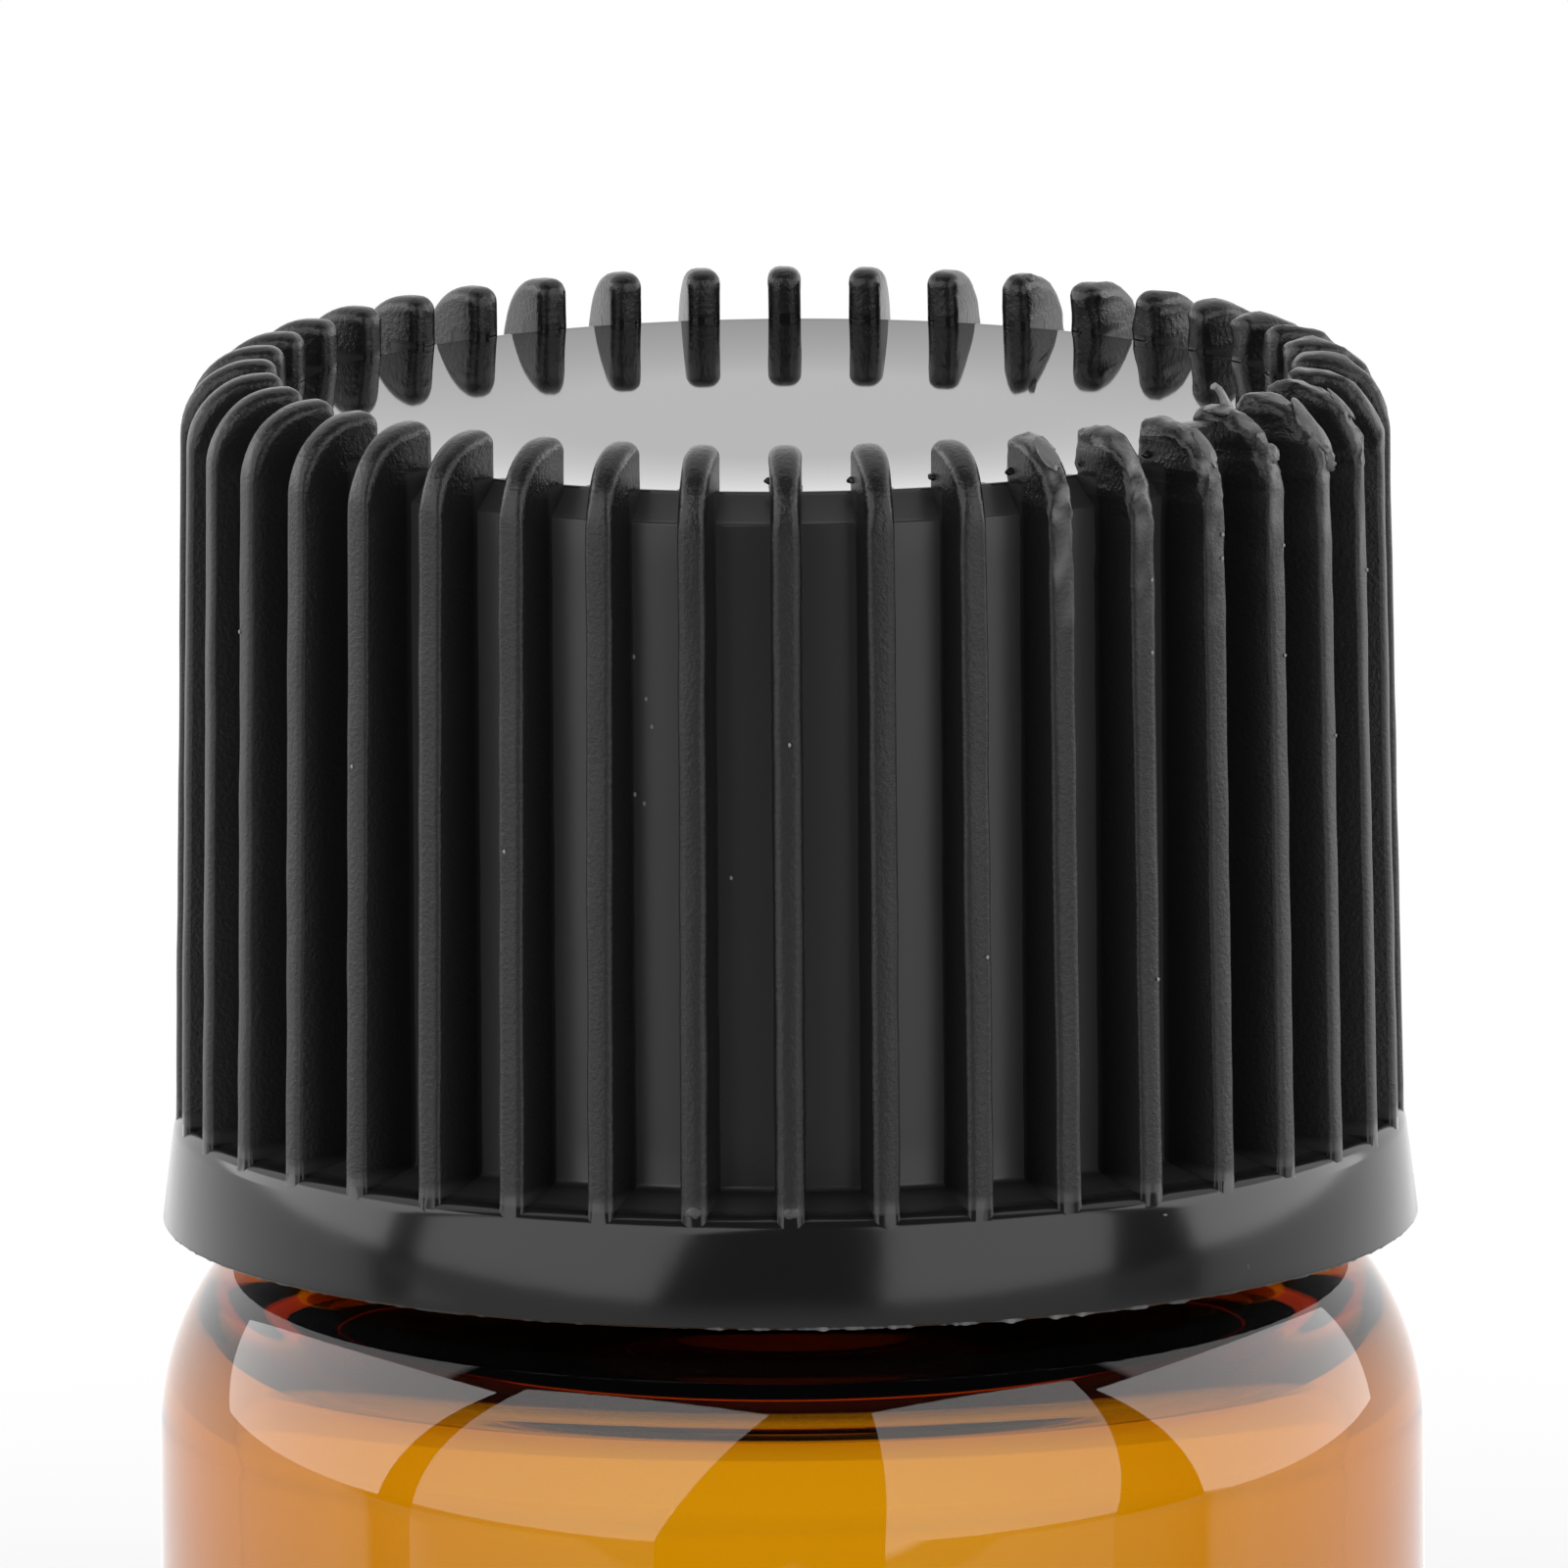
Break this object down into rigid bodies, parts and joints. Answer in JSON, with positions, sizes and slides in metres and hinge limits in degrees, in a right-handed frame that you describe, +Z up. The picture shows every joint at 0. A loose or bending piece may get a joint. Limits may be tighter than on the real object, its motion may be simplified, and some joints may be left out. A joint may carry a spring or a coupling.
{
  "type": "glass sample vial",
  "caption": "Small amber glass vial with a threaded neck, closed by a finely ribbed black screw cap with a foam liner.",
  "frame": {"origin": "centre of the base, on the surface that the vial stands on", "axes": "+Z up along the axis of the vial, -Y towards the front"},
  "size_m": [0.016, 0.016, 0.035],
  "materials": {
    "amber_glass": "clear amber glass, glossy",
    "black_plastic": "black moulded plastic, glossy walls, finely textured ribs",
    "liner_foam": "white closed-cell foam, satin skin"
  },
  "bodies": {
    "vial": {"glass_vial": "amber_glass"},
    "liner": {"cap_liner": "liner_foam"},
    "cap": {"screw_cap": "black_plastic"}
  },
  "joints": [
    {"name": "cap_lift", "type": "slide", "parent": "vial", "child": "liner", "axis": [0, 0, 1], "range_m": [0, 0.01155]},
    {"name": "cap_turn", "type": "hinge", "parent": "liner", "child": "cap", "pos_m": [0, 0, 0.03345], "axis": [0, 0, 1], "range_deg": [0, 1985]}
  ],
  "couplings": [
    {"joint": "cap_turn", "follows": "cap_lift", "rad_per_m": 2992}
  ]
}
